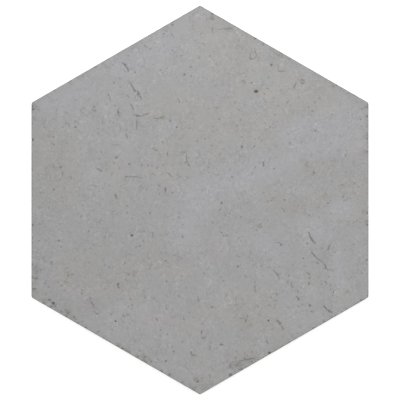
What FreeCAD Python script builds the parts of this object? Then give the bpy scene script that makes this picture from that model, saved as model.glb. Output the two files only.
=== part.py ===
"""Hexagon floor tile: one dry-pressed porcelain tile, face up, lying on its moulded back.

Millimetres, +Z up. The origin is the middle of the back, on the plane that the tile is bedded on.
Two corners of the tile point along +Y and -Y, and two of its edges face +X and -X.

The tile is pressed in one stroke and fired as one piece. Its edge stands upright below the face
and then slopes in towards the back, so that it leaves the die and leaves room for the grout. The
face has a small rounded arris. The back is moulded with a honeycomb of shallow keys that the
adhesive grips, inside a plain rim and around one plain cell in the middle.
"""
import FreeCAD, Part
import Sketcher

import math
import os

DIMENSIONS = [
    # alias, value, what it is
    ("across_flats", 216.5, "mm, between two opposite edges at the face"),
    ("thickness", 9.0, "mm, bedding plane to face"),
    ("corner_radius", 1.5, "mm, rounding of the six corners in plan"),
    ("arris_radius", 1.0, "mm, rounding between the face and the upright edge"),
    ("slope_height", 4.0, "mm, height of the sloping lower part of the edge"),
    ("slope_angle", 8.0, "degrees, how far that part leans in from upright"),
    ("back_radius", 0.4, "mm, rounding between the sloping edge and the back"),
    ("rim_width", 9.0, "mm, plain rim of the back outside the outermost keys"),
    ("key_rings", 5, "rings of keys round the plain middle cell"),
    ("key_depth", 0.8, "mm, depth of a key below the ribs"),
    ("key_slope", 30.0, "degrees, how far a key's wall leans from upright"),
    ("rib_width", 2.5, "mm, rib between two keys, at its top"),
]

DERIVED = [
    # alias, formula, what it is
    ("slope_inset", "=slope_height * tan(slope_angle * 1deg)", "mm, back outline inside the face's"),
    (
        "key_pitch",
        "=(across_flats / 2 - slope_inset - rim_width + rib_width / sqrt(3))"
        " / (key_rings * sqrt(3) / 2 + 1 / sqrt(3))",
        "mm, centre to centre, so that the outermost keys end at the rim",
    ),
    ("key_flats", "=key_pitch - rib_width", "mm, between two opposite walls of a key, at the rib tops"),
]

SIDES = 6
THIRDS = 3
FULL_TURN = 360.0
SIDE_TURN = FULL_TURN / SIDES
FACE_CORNER = SIDE_TURN / 2
KEY_CORNER = 0.0
KEY_ROW = FULL_TURN / 2 + FACE_CORNER
UP = FreeCAD.Vector(0, 0, 1)
SAME_VOLUME = 1e-3


class Ref:
    """What a sketch calls the points of a line or arc, its own two axes and its origin."""

    START, END, CENTRE = range(1, 4)
    X_AXIS, Y_AXIS = range(-1, -3, -1)
    ORIGIN = (X_AXIS, START)


def direction(degrees):
    """A unit vector in the plane of the tile."""
    angle = math.radians(degrees)
    return FreeCAD.Vector(math.cos(angle), math.sin(angle), 0)


def dimension_sheet(document):
    """The sheet of driving and derived sizes, each with its alias."""
    sheet = document.addObject("Spreadsheet::Sheet", "Dimensions")
    for row, (alias, value, meaning) in enumerate(DIMENSIONS + DERIVED, start=1):
        sheet.set(f"A{row}", alias)
        sheet.set(f"B{row}", str(value))
        sheet.set(f"C{row}", meaning)
        sheet.setAlias(f"B{row}", alias)
    document.recompute()
    return sheet


def flat_sketch(body, name):
    """A new sketch on the body's own XY plane, which is the bedding plane."""
    sketch = body.newObject("Sketcher::SketchObject", name)
    plane = next(item for item in body.Origin.OriginFeatures if item.Role == "XY_Plane")
    sketch.AttachmentSupport = [(plane, "")]
    sketch.MapMode = "FlatFace"
    return sketch


def bind(sketch, constraint, name, alias):
    """Add one dimension to a sketch and tie it to a cell of the sheet."""
    sketch.renameConstraint(sketch.addConstraint(constraint), name)
    sketch.setExpression(f"Constraints.{name}", f"Dimensions.{alias}")


def hexagon_sides(sketch, centre, first_corner, flats, trimmed=0.0):
    """The six sides of a regular hexagon, each shortened at both ends by the same amount."""
    corners = [
        centre + direction(first_corner + SIDE_TURN * number) * flats / math.sqrt(3)
        for number in range(SIDES)
    ]
    sides = []
    for number, start in enumerate(corners):
        end = corners[(number + 1) % SIDES]
        inwards = (end - start).normalize() * trimmed
        sides.append(sketch.addGeometry(Part.LineSegment(start + inwards, end - inwards)))
    for side in sides[1:]:
        sketch.addConstraint(Sketcher.Constraint("Equal", sides[0], side))
    return sides


def guide_circle(sketch, centre, radius):
    """A construction circle that carries the corners of a hexagon, and is centred on it."""
    return sketch.addGeometry(Part.Circle(centre, UP, radius), True)


def face_outline(body, sheet):
    """The plan of the tile, at the height where its upright edge ends and its slope begins."""
    sketch = flat_sketch(body, "face_outline")
    sketch.setExpression(".AttachmentOffset.Base.z", "Dimensions.slope_height")
    flats = sheet.across_flats
    radius = sheet.corner_radius
    middle = FreeCAD.Vector()
    half_turn = math.radians(SIDE_TURN / 2)
    sides = hexagon_sides(sketch, middle, FACE_CORNER, flats, radius * math.tan(half_turn))
    arc_distance = flats / math.sqrt(3) - radius / math.cos(half_turn)
    guide = guide_circle(sketch, middle, arc_distance)
    arcs = []
    for number, side in enumerate(sides):
        turn = FACE_CORNER + SIDE_TURN * (number + 1)
        circle = Part.Circle(direction(turn) * arc_distance, UP, radius)
        ends = (math.radians(turn) - half_turn, math.radians(turn) + half_turn)
        arc = sketch.addGeometry(Part.ArcOfCircle(circle, *ends))
        next_side = sides[(number + 1) % SIDES]
        sketch.addConstraint(Sketcher.Constraint("Tangent", side, Ref.END, arc, Ref.START))
        sketch.addConstraint(Sketcher.Constraint("Tangent", arc, Ref.END, next_side, Ref.START))
        sketch.addConstraint(Sketcher.Constraint("PointOnObject", arc, Ref.CENTRE, guide))
        arcs.append(arc)
    for arc in arcs[1:]:
        sketch.addConstraint(Sketcher.Constraint("Equal", arcs[0], arc))
    sketch.addConstraint(Sketcher.Constraint("Coincident", guide, Ref.CENTRE, *Ref.ORIGIN))
    sketch.addConstraint(Sketcher.Constraint("PointOnObject", arcs[0], Ref.CENTRE, Ref.Y_AXIS))
    across = Sketcher.Constraint("Distance", sides[0], Ref.START, sides[SIDES // 2], flats)
    bind(sketch, across, "across_flats", "across_flats")
    bind(sketch, Sketcher.Constraint("Radius", arcs[0], radius), "corner", "corner_radius")
    return sketch


def rounded_rim(body, name, base, side, alias):
    """Round the rim of the tile's top, where side is max, or of its back, where side is min."""
    heights = [face.CenterOfMass.z for face in base.Shape.Faces]
    fillet = body.newObject("PartDesign::Fillet", name)
    fillet.Base = (base, [f"Face{heights.index(side(heights)) + 1}"])
    fillet.setExpression("Radius", f"Dimensions.{alias}")
    body.Document.recompute()
    return fillet


def pressed_blank(body, sheet):
    """The tile before its back is moulded: upright edge, slope, arris and eased back edge."""
    blank = body.newObject("PartDesign::Pad", "pressed_blank")
    blank.Profile = face_outline(body, sheet)
    blank.SideType = "Two sides"
    blank.setExpression("Length", "Dimensions.thickness - Dimensions.slope_height")
    blank.setExpression("Length2", "Dimensions.slope_height")
    blank.setExpression("TaperAngle2", "-Dimensions.slope_angle * 1deg")
    body.Document.recompute()
    arris = rounded_rim(body, "arris", blank, max, "arris_radius")
    return rounded_rim(body, "back_edge", arris, min, "back_radius")


def key_outline(body, sheet):
    """The plan of one key, the first above the plain middle cell.

    Its only guide line runs from the middle of the tile along a row of keys.
    """
    sketch = flat_sketch(body, "key_outline")
    pitch = sheet.key_pitch
    flats = sheet.key_flats
    centre = FreeCAD.Vector(0, pitch, 0)
    sides = hexagon_sides(sketch, centre, KEY_CORNER, flats)
    guide = guide_circle(sketch, centre, flats / math.sqrt(3))
    for number, side in enumerate(sides):
        next_side = sides[(number + 1) % SIDES]
        sketch.addConstraint(Sketcher.Constraint("Coincident", side, Ref.END, next_side, Ref.START))
        sketch.addConstraint(Sketcher.Constraint("PointOnObject", side, Ref.START, guide))
    sketch.addConstraint(Sketcher.Constraint("PointOnObject", guide, Ref.CENTRE, Ref.Y_AXIS))
    sketch.addConstraint(Sketcher.Constraint("Horizontal", sides[0], Ref.START, guide, Ref.CENTRE))
    from_middle = Sketcher.Constraint("DistanceY", *Ref.ORIGIN, guide, Ref.CENTRE, pitch)
    across = Sketcher.Constraint("Distance", sides[0], Ref.START, sides[SIDES // 2], flats)
    bind(sketch, from_middle, "from_middle", "key_pitch")
    bind(sketch, across, "across_flats", "key_flats")

    row = sketch.addGeometry(Part.LineSegment(FreeCAD.Vector(), direction(KEY_ROW) * pitch), True)
    row_angle = math.radians(KEY_ROW)
    sketch.addConstraint(Sketcher.Constraint("Coincident", row, Ref.START, *Ref.ORIGIN))
    sketch.addConstraint(Sketcher.Constraint("Angle", *Ref.ORIGIN, row, Ref.START, row_angle))
    bind(sketch, Sketcher.Constraint("Distance", row, pitch), "row_step", "key_pitch")
    return sketch


def moulded_key(body, outline):
    """One key, cut up into the back, with walls that lean so that it leaves the mould."""
    key = body.newObject("PartDesign::Pocket", "key")
    key.Profile = outline
    key.Reversed = True
    key.setExpression("Length", "Dimensions.key_depth")
    key.setExpression("TaperAngle", "-Dimensions.key_slope * 1deg")
    return key


def key_steps(body, name, axis, occurrences):
    """One direction of the honeycomb, in steps of the key pitch."""
    steps = body.newObject("PartDesign::LinearPattern", name)
    steps.Direction = axis
    steps.Mode = "Spacing"
    steps.setExpression("Offset", "Dimensions.key_pitch")
    steps.setExpression("Occurrences", occurrences)
    return steps


def honeycomb(body, key, outline):
    """The key repeated over three equal diamonds, which meet round the plain middle cell."""
    pattern = body.newObject("PartDesign::MultiTransform", "honeycomb")
    pattern.Originals = [key]
    rows = key_steps(body, "key_rows", (outline, ["V_Axis"]), "Dimensions.key_rings")
    guide_line = (outline, ["Axis0"])
    columns = key_steps(body, "key_columns", guide_line, "Dimensions.key_rings + 1")
    turns = body.newObject("PartDesign::PolarPattern", "key_turns")
    turns.Axis = (outline, ["N_Axis"])
    turns.Occurrences = THIRDS
    pattern.Transformations = [rows, columns, turns]
    pattern.Refine = False
    body.Tip = pattern
    return pattern


def hexagon_tile(document, sheet):
    """The whole tile as one body."""
    body = document.addObject("PartDesign::Body", "hexagon_tile")
    blank = pressed_blank(body, sheet)
    outline = key_outline(body, sheet)
    key = moulded_key(body, outline)
    pattern = honeycomb(body, key, outline)
    document.recompute()
    return body, blank, key, pattern


def check(document, sheet, body, blank, key, pattern):
    """Stop if an object failed, a sketch is loose, or the keys aren't all cut."""
    for item in document.Objects:
        if "Invalid" in item.State or "Error" in item.State:
            raise RuntimeError(f"{item.Label} failed: {item.State}")
        if item.isDerivedFrom("Sketcher::SketchObject") and not item.FullyConstrained:
            raise RuntimeError(f"{item.Label} isn't fully constrained")
    if body.Shape.isNull() or not body.Shape.isValid() or len(body.Shape.Solids) != 1:
        raise RuntimeError(f"{body.Label} isn't one valid solid")
    rings = int(sheet.key_rings)
    keys = THIRDS * rings * (rings + 1)
    one_key = blank.Shape.Volume - key.Shape.Volume
    all_keys = blank.Shape.Volume - pattern.Shape.Volume
    if one_key <= 0 or abs(all_keys - keys * one_key) > SAME_VOLUME * all_keys:
        raise RuntimeError(f"{keys} keys of {one_key:.1f} mm3 should be cut, not {all_keys:.1f} mm3")
    print(f"{body.Label}: {body.Shape.Volume:.0f} mm3, {keys} keys of {one_key:.1f} mm3")


def main():
    document = FreeCAD.newDocument("hexagon_floor_tile")
    sheet = dimension_sheet(document)
    body, blank, key, pattern = hexagon_tile(document, sheet)
    check(document, sheet, body, blank, key, pattern)
    os.makedirs("parts", exist_ok=True)
    body.Shape.exportStep(os.path.join("parts", f"{body.Label}.step"))


main()
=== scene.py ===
"""Looks of a hexagonal porcelain floor tile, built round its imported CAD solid.

The tile is a copy of the CAD solid. Its face is cut into a fine mesh where the stone look has its
fissures, pits and edge chips, which are then pressed into it, and one material each finishes the face
and the bare body. The stage is a pale floor, soft light from above and a camera that looks straight
down, as the photo does. Lengths are in metres.
"""

import math
import random

import bmesh
import bpy
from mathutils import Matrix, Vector, kdtree, noise


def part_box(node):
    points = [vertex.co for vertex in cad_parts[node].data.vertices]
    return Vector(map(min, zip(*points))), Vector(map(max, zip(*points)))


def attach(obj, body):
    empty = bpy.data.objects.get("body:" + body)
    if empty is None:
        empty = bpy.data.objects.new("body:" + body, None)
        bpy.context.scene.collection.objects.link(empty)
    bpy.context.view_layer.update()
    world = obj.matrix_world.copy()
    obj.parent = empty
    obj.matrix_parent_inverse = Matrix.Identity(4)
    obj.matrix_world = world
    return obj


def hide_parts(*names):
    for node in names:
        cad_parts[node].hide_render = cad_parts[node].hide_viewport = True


bl_info = {
    "name": "Hexagon floor tile",
    "version": (1, 0, 0),
    "blender": (4, 5, 0),
    "location": "3D View > Sidebar > Floor tile",
    "description": "Models the stone-look face and the studio of a hexagonal porcelain floor tile",
    "category": "Object",
}

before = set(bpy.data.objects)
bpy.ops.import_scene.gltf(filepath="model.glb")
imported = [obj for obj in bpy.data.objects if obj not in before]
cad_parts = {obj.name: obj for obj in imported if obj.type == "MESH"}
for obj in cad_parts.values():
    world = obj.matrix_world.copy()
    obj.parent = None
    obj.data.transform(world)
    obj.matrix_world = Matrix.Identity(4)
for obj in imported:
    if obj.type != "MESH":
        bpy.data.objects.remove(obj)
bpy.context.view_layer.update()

# Names from the CAD record
NODE = "hexagon_tile"
BODY = "root"

# Sizes from the CAD box. The slope of the edge ends below UPRIGHT_Z, the moulded keys lie below BACK_Z,
# and PLAIN_RIM is a width of the back that has no keys.
LOW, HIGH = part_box(NODE)
FLATS = HIGH[0] - LOW[0]
FACE_Z = HIGH[2]
APOTHEM = FLATS / 2
SIDES = 6
SIDE_TURN = math.tau / SIDES
UPRIGHT_Z = FACE_Z * 0.47
BACK_Z = FACE_Z * 0.12
PLAIN_RIM = 0.006
ARRIS = 0.001
ARRIS_DROP = ARRIS * 0.3

# The photo's frame, in pixels
PHOTO_SIDE = 400
PHOTO_MIDDLE = 200
PHOTO_FLATS = 337
PIXEL = FLATS / PHOTO_FLATS

# Marks of the face, read from the photo, in its pixels
DEEP_FISSURES = (
    ((308.7, 281.8), (309, 284.6)),
    ((263.3, 162.2), (263.2, 166.6)),
    ((122.5, 63), (126.3, 66.5), (128.6, 71.5)),
    ((137.6, 91.2), (138.7, 95.4), (141.6, 98.3)),
    ((308.8, 232.6), (309.7, 235.5), (311.4, 238.7), (313, 241.3), (315.2, 243.8)),
    ((311.8, 252), (313, 254.3), (315.5, 257)),
    ((191.2, 351), (191.4, 354.7), (195.5, 354.9)),
    ((296.5, 296.5), (299, 300)),
    ((309, 304), (310.3, 307)),
    ((115.2, 194.8), (116.8, 198.4)),
    ((119.2, 282.8), (117.4, 285.3), (119.3, 288.2)),
    ((165, 188), (165.8, 191.5)),
    ((323.8, 305.8), (327, 310), (331.2, 312.7)),
    ((276.4, 320), (278.4, 321.6), (280.2, 324.2)),
    ((136, 115.6), (139.4, 116.2)),
    ((219.5, 344.4), (223.5, 344.4)),
)
MEDIUM_FISSURES = (
    ((131, 104.5), (133.5, 110)),
    ((139, 116.2), (141.6, 116)),
    ((34, 278.2), (38, 278.8)),
    ((33, 289), (36.6, 288.4)),
    ((333.3, 290.6), (333.3, 293.6)),
    ((94.3, 310.6), (95.6, 313)),
    ((201.6, 330.6), (201.7, 333.5)),
    ((311.4, 311), (313, 312.6)),
    ((306.6, 272.5), (309.6, 274.7)),
    ((239.6, 361), (246, 359.8), (253.4, 358.2)),
    ((128.5, 81.3), (132.5, 86.5), (135.8, 92.5)),
    ((90, 300), (91.5, 303), (93.5, 305), (93.8, 307.5)),
    ((141.6, 116), (144.6, 115), (148.6, 113.2)),
    ((186.5, 155), (186.6, 160), (189, 165.7)),
    ((323, 263), (325, 265.5), (325.6, 268), (327.7, 270)),
    ((276, 272.3), (277.4, 274.5), (278.8, 279.2)),
    ((281, 325.6), (282.4, 327.4), (283.6, 330)),
    ((153, 148.6), (157, 151)),
    ((96, 168.6), (99, 169.6), (103, 171.4)),
    ((201.4, 337), (204, 338.4), (206.4, 336.8)),
    ((95.8, 313.3), (98.4, 313.9)),
    ((118.1, 109), (118.2, 113.5), (119.2, 117)),
    ((295.6, 83.6), (293.8, 89)),
    ((178, 99), (179.5, 103)),
    ((126.4, 133), (126.8, 135.6), (127.8, 139)),
    ((265.8, 340.2), (267.8, 343.8)),
    ((245.7, 317.8), (245.7, 321.8)),
    ((198.3, 296.6), (198.4, 301.6)),
    ((329, 245.4), (328.6, 248), (327.6, 250.6)),
    ((167, 173), (169.5, 174.5), (171.4, 176.8)),
    ((249.6, 57.4), (251.5, 59.4), (254.8, 58.4)),
)
FINE_FISSURES = (
    ((239.8, 215.6), (240.9, 218.4)),
    ((286.4, 103.8), (289.4, 100.4)),
    ((324.6, 281.4), (326.6, 284.4)),
    ((69.6, 176), (72, 179)),
    ((80, 217.8), (82.6, 214.8)),
    ((212, 27.6), (212.4, 32.2)),
    ((144.4, 45), (147, 49)),
    ((136.9, 119), (136.8, 124), (136.4, 129)),
    ((210, 144.6), (212.8, 146.6)),
    ((254.7, 286), (255, 290), (256, 292.5)),
    ((241, 80.4), (245.6, 83)),
    ((230.2, 367.8), (230.4, 362.8), (235, 361.6)),
    ((254.9, 281), (254.7, 286)),
    ((133.6, 114.2), (136, 115.6)),
    ((278.4, 66), (278, 71), (284.6, 71.6)),
    ((300.4, 81), (302, 79.8), (303.8, 81.2), (303.6, 83.2), (301.8, 84.2), (300.2, 82.8)),
    ((315.5, 257), (318, 259), (320, 260.5), (323, 263)),
    ((327.7, 270), (330, 269.7), (333, 271.4)),
    ((273, 269.5), (275, 272), (275.6, 274)),
    ((107.8, 93), (109, 96), (110.9, 101)),
    ((90.6, 297.4), (90, 300)),
    ((81.4, 109.2), (84.4, 108.4)),
    ((153.7, 118.4), (160, 118.6), (164.5, 116.2)),
    ((135, 177.3), (138.5, 177.3), (142, 178.6)),
    ((124.4, 176.6), (132, 176.9), (141.4, 178)),
    ((152, 173.3), (154.6, 175)),
    ((157.6, 184.5), (160, 186.7)),
    ((171.5, 34), (174, 37.5)),
    ((254.5, 48), (255, 53), (257, 55), (254, 59), (250, 59), (250, 54)),
    ((81.9, 292), (81.8, 295)),
    ((210, 345), (210, 350.5)),
    ((291.3, 282), (291.3, 286.3), (293.1, 288)),
    ((275, 242.5), (279.5, 242.8), (281.7, 246.4)),
    ((280.6, 207.5), (283, 209.5), (284.5, 212)),
    ((152.7, 232.3), (152.7, 238)),
    ((149.4, 214), (151, 211.3)),
    ((156.4, 317.8), (157.6, 320.8)),
    ((203.3, 272), (204.8, 275.4)),
    ((286, 306.6), (291, 308.2)),
    ((352, 223.5), (359, 219.6)),
    ((304, 164), (305.6, 166), (308, 167)),
    ((244, 275), (247.2, 277.6)),
    ((312, 238.6), (313.8, 239.6)),
    ((180.6, 152), (186, 152.6)),
    ((224.4, 212.6), (225.5, 216.6)),
    ((147.6, 357), (152, 361.2)),
    ((341, 184.4), (344, 186.2)),
    ((236, 365.4), (238, 362.8)),
    ((315.5, 262.5), (319, 263.5)),
    ((239, 318.5), (244, 318.5)),
    ((247.5, 315), (247.5, 318)),
    ((241, 137.5), (243, 136)),
    ((113.5, 145), (118, 145)),
    ((63, 172), (62.3, 176)),
    ((167.3, 152.5), (167.8, 156)),
    ((217, 29.8), (224, 29.2), (233, 28.4)),
)
HAIRLINES = (
    ((256.4, 225), (259, 228)),
    ((259.4, 224.4), (262.6, 228.4)),
    ((91, 184.6), (95, 186.6), (98.4, 187.4)),
    ((147.6, 253), (148, 257), (150, 259.6)),
    ((133.8, 272), (133.8, 277)),
    ((296.6, 207), (299.2, 205)),
    ((66.4, 271.5), (68, 274), (68.3, 276.6)),
    ((347.5, 129), (350, 127.5)),
    ((251.5, 48), (252.5, 56)),
    ((262, 240), (263.5, 243)),
    ((52.6, 117.5), (56, 121.5)),
    ((74.5, 122.5), (77.5, 121), (79, 124), (78.6, 127)),
    ((133.2, 178.4), (133.2, 181.6)),
    ((139.4, 179), (139.6, 181.4)),
    ((125.5, 178), (125.5, 183)),
    ((128.3, 178.5), (128.3, 183)),
    ((33.6, 273.2), (38, 273.6)),
    ((161, 236), (167.3, 235), (168.8, 232.3)),
)
BLACK_PITS = (
    (256.3, 91.6, 2.1), (315.1, 131.1, 1.0), (131.8, 235.4, 1.3), (268.4, 320.2, 1.15),
    (115.5, 321.3, 1.2), (53.6, 303, 1.5), (269, 352.9, 1.7),
)
DEEP_PITS = (
    (241.8, 146.9, 1.8), (313.5, 173.3, 1.4), (176.7, 127.6, 1.2), (197.9, 381.2, 1.3), (166.1, 361, 1.5),
    (115.9, 158, 1.4), (238, 266.7, 1.3), (303.2, 258.6, 1.05), (211.8, 306.9, 1.3), (54, 189.4, 1.1),
    (75.8, 127, 1.2), (59, 240.6, 1.1), (226.8, 235.6, 1.3), (328, 203, 1.2), (251.3, 83, 1.2),
    (145, 357, 1.4), (271.5, 65, 1.35), (184.3, 75, 1.2), (172.5, 25, 1.3), (244.5, 358.6, 1.15),
    (169.6, 374.4, 1.1), (221.3, 203.4, 1.3), (122.8, 347.8, 1.2), (191, 67, 1.0), (166.7, 281.4, 1.2),
    (221.8, 232.7, 1.6), (281, 244.6, 1.3), (48.8, 299.6, 1.5), (127.6, 212.9, 1.4), (164, 34, 1.0),
    (138.4, 94, 1.9), (280.2, 323.6, 1.5), (278.4, 321.6, 1.4), (309.6, 305.6, 1.6), (137, 115.9, 1.6),
)
DARK_PITS = (
    (150.5, 49, 1.4), (95, 80, 1.0), (114, 83, 1.3), (182.8, 236.8, 1.3), (362.6, 273.3, 1.3),
    (191.5, 76.5, 1.2), (135, 72.5, 1.0), (160.5, 70.5, 1.0), (172.5, 51, 1.05), (175, 53, 0.8),
    (181.5, 56, 1.0), (199, 58, 1.0), (210, 56.5, 1.2), (203.5, 44, 0.8), (213.5, 80.5, 0.9),
    (258.5, 58, 1.0), (268, 77.5, 1.0), (264.5, 94, 1.0), (280.5, 91, 0.9), (299, 98, 1.0),
    (278, 106.5, 1.0), (308.5, 107.5, 1.0), (304, 110.5, 0.8), (312.3, 111, 1.2), (319.6, 98.7, 1.1),
    (235, 103, 1.1), (255.6, 167, 1.1), (231.8, 177, 1.3), (53.6, 137, 1.4), (54, 144.3, 0.9),
    (63, 127.2, 1.1), (93.9, 107.4, 1.1), (94.8, 110.8, 0.8), (61, 167.5, 1.4), (126.8, 206, 1.1),
    (139.8, 246, 1.55), (165.7, 260.9, 1.4), (109.6, 267, 1.0), (128.8, 274.4, 1.2), (111.3, 313.7, 1.4),
    (123.4, 316.4, 1.1), (128.3, 315.6, 1.1), (167.5, 334.2, 1.1), (173.6, 351.6, 1.3),
    (212.4, 222.8, 1.3), (224, 235.6, 1.1), (220.8, 277.4, 1.2), (261.5, 266, 1.1), (309.4, 278, 1.0),
    (288.7, 275.4, 1.4), (330, 285, 1.1), (297.6, 291, 1.2), (271, 297.5, 1.3), (311.4, 311.2, 1.1),
    (307, 243.6, 1.2), (147.8, 165.3, 1.3), (157.2, 168, 1.2), (142, 165.2, 1.0), (172, 192.7, 1.0),
    (102.6, 188.4, 0.9), (345, 155.5, 1.3), (350.4, 198, 1.1), (343, 197, 1.1), (88.8, 231.3, 0.9),
    (66, 112.4, 1.2), (68.2, 275.8, 1.2), (61.5, 285.4, 1.1), (48.4, 287, 1.2), (65.7, 309.6, 1.3),
    (74, 317.2, 1.2), (237, 365.2, 1.3), (244.5, 353, 1.0), (253.6, 358.2, 1.2), (154.4, 298, 1.2),
    (179, 296, 1.1), (195.2, 387, 1.0), (268.2, 201.4, 1.1), (271.4, 200.4, 1.0), (332.6, 295.4, 1.0),
    (330.6, 289.4, 0.9), (344.8, 250, 1.0), (256.7, 230, 1.0), (274, 168.8, 1.1), (173.8, 255.4, 0.9),
    (254.2, 146.8, 1.3), (137.6, 356.6, 1.2), (284.2, 200.2, 1.4), (129.8, 351.9, 1.4),
    (151.6, 361.2, 0.9), (98, 331.6, 1.4), (68.4, 312.8, 1.1), (61.5, 311.6, 1.1), (360.7, 119.6, 0.8),
    (81.8, 293.4, 1.1), (82.6, 322, 1.0), (182.4, 381.8, 0.6), (272, 329.6, 1.1), (191.5, 353.4, 1.1),
    (115.2, 195.2, 1.3), (303.2, 83.6, 0.9), (329.6, 311.6, 1.4), (105.3, 74, 0.8),
)
FAINT_PITS = (
    (39, 223.5, 1.0), (56.5, 226.5, 1.1), (59.5, 224.5, 1.0), (91, 248.5, 1.0), (73, 274, 1.0),
    (105, 265, 1.0), (126, 280, 1.1), (134, 215.5, 1.0), (144.5, 231.5, 1.1), (150, 265.5, 1.0),
    (149.5, 268.5, 1.0), (202, 253, 1.0), (236, 218, 1.0), (241, 240.5, 1.1), (263, 275.5, 1.0),
    (288.5, 219.8, 1.0), (319, 217.5, 1.0), (299, 306, 1.0), (302, 305, 1.0), (242, 330, 1.1),
    (223.3, 125, 1.0), (213, 127, 1.0), (216.7, 130, 1.1), (219.5, 119.5, 1.0), (265.3, 123.5, 1.0),
    (270, 127, 1.0), (237, 126.5, 1.0), (255, 139.3, 1.0), (275.7, 157.3, 1.1), (319.5, 177.5, 1.0),
    (347, 199.5, 1.0), (98, 128.8, 1.0), (98.3, 133.5, 1.0), (115.8, 115, 1.0), (106.5, 104, 1.0),
    (154, 144.6, 1.2), (180.3, 193, 1.0), (185.5, 163, 1.0), (152, 165.5, 1.0), (58.5, 282.5, 1.0),
    (128.8, 306.5, 1.0), (82.5, 290, 1.0), (90, 296, 1.0), (167, 296, 1.0), (161, 330, 1.0),
    (139.6, 350.4, 1.3), (213, 360, 1.0), (213.5, 370, 1.2), (209.5, 375, 1.1), (193.5, 317.5, 1.0),
    (189, 312.5, 1.0), (218.5, 311, 1.0), (323, 301, 1.1), (345, 308, 1.5), (34.6, 109.4, 1.2),
    (36.6, 106.6, 1.2), (38.6, 110.2, 1.0), (361.6, 109.4, 1.2), (44.6, 127, 1.2), (53, 119, 1.2),
    (69, 124.8, 1.1), (65.6, 123.4, 1.0), (113.7, 122.5, 1.2), (112.4, 144.6, 1.3), (118.6, 144.8, 1.2),
    (81.4, 154.6, 1.3), (101.5, 152.5, 1.0), (105.6, 153, 1.1), (99, 159, 1.1), (113.6, 162.6, 1.2),
    (50.4, 177.6, 1.3), (204, 45.5, 1.1), (199.5, 48, 1.0), (230.5, 71, 1.1), (243, 81.4, 0.9),
    (273, 98, 1.2), (274.5, 114.8, 1.2), (219, 119, 1.2), (288, 134.5, 1.3), (289.7, 143.6, 1.5),
    (254.5, 168.5, 1.1), (218.6, 346, 0.8), (163.5, 312, 1.1), (236, 351.5, 1.1), (235.6, 357.6, 1.3),
    (352, 270.5, 1.0), (321.5, 284.5, 1.0), (198, 99.6, 1.2), (322, 248, 1.2), (120, 88, 1.1),
    (48.4, 208, 1.1), (240.4, 120, 1.1), (252, 352, 1.1), (320, 294, 1.0), (128.4, 56, 1.0),
    (80.4, 110.4, 1.0), (190.4, 166, 1.0), (148.4, 114, 1.0), (142, 116, 1.0), (48.6, 151, 1.0),
    (51.6, 151.2, 1.0), (38.6, 175, 1.1), (311.2, 155.4, 0.8), (348.4, 122.6, 1.1), (317.2, 131.4, 1.0),
    (316, 139.6, 1.1), (156, 362.4, 1.2), (157.8, 359.6, 1.0), (71, 318.2, 1.1), (67, 317.6, 1.1),
    (76.6, 319.2, 1.1), (45, 304.4, 1.0), (55.6, 306.4, 1.1), (52, 306, 1.1), (163, 372.6, 1.0),
    (336.2, 85.8, 1.2), (348, 93.6, 0.8), (314.6, 102.6, 1.2), (366, 151.6, 0.9), (354.6, 96.2, 1.0),
    (323.4, 163.2, 1.0),
)
SOFT_PITS = (
    (275, 115, 1.4), (252, 173, 1.6), (259, 163, 1.5), (258.5, 137.8, 1.2), (290, 144, 1.5),
    (197.3, 158, 1.6), (163, 165, 1.6), (189.8, 128.4, 1.4), (179.5, 139.6, 1.6), (197.5, 141, 1.4),
    (205, 139, 1.4), (114.2, 163, 1.4), (109.5, 185.6, 1.5), (45, 283, 1.6), (43.6, 257.6, 1.6),
    (36.2, 266, 1.6), (147, 269.6, 1.3), (161.4, 252.6, 1.4), (165.6, 252.8, 1.6), (245.8, 192.4, 1.3),
    (267.5, 220.4, 1.6), (332, 165.4, 1.5), (345.6, 172, 1.6), (354.2, 183, 1.6), (358.6, 187, 1.8),
    (331.4, 115, 1.6), (276.6, 294.6, 1.5), (276.2, 300.2, 1.4), (181.6, 276, 1.4), (172.2, 346.6, 1.4),
    (167.6, 347.4, 1.2), (182.4, 341.6, 1.4), (117.6, 299, 1.5), (235.8, 357.8, 1.7), (247.4, 356, 1.6),
    (347.4, 291.4, 1.2), (61, 247, 1.6), (328.6, 277, 1.2), (321, 284, 1.3), (287, 281.6, 1.6),
    (350.6, 277, 1.3),
)
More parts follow.
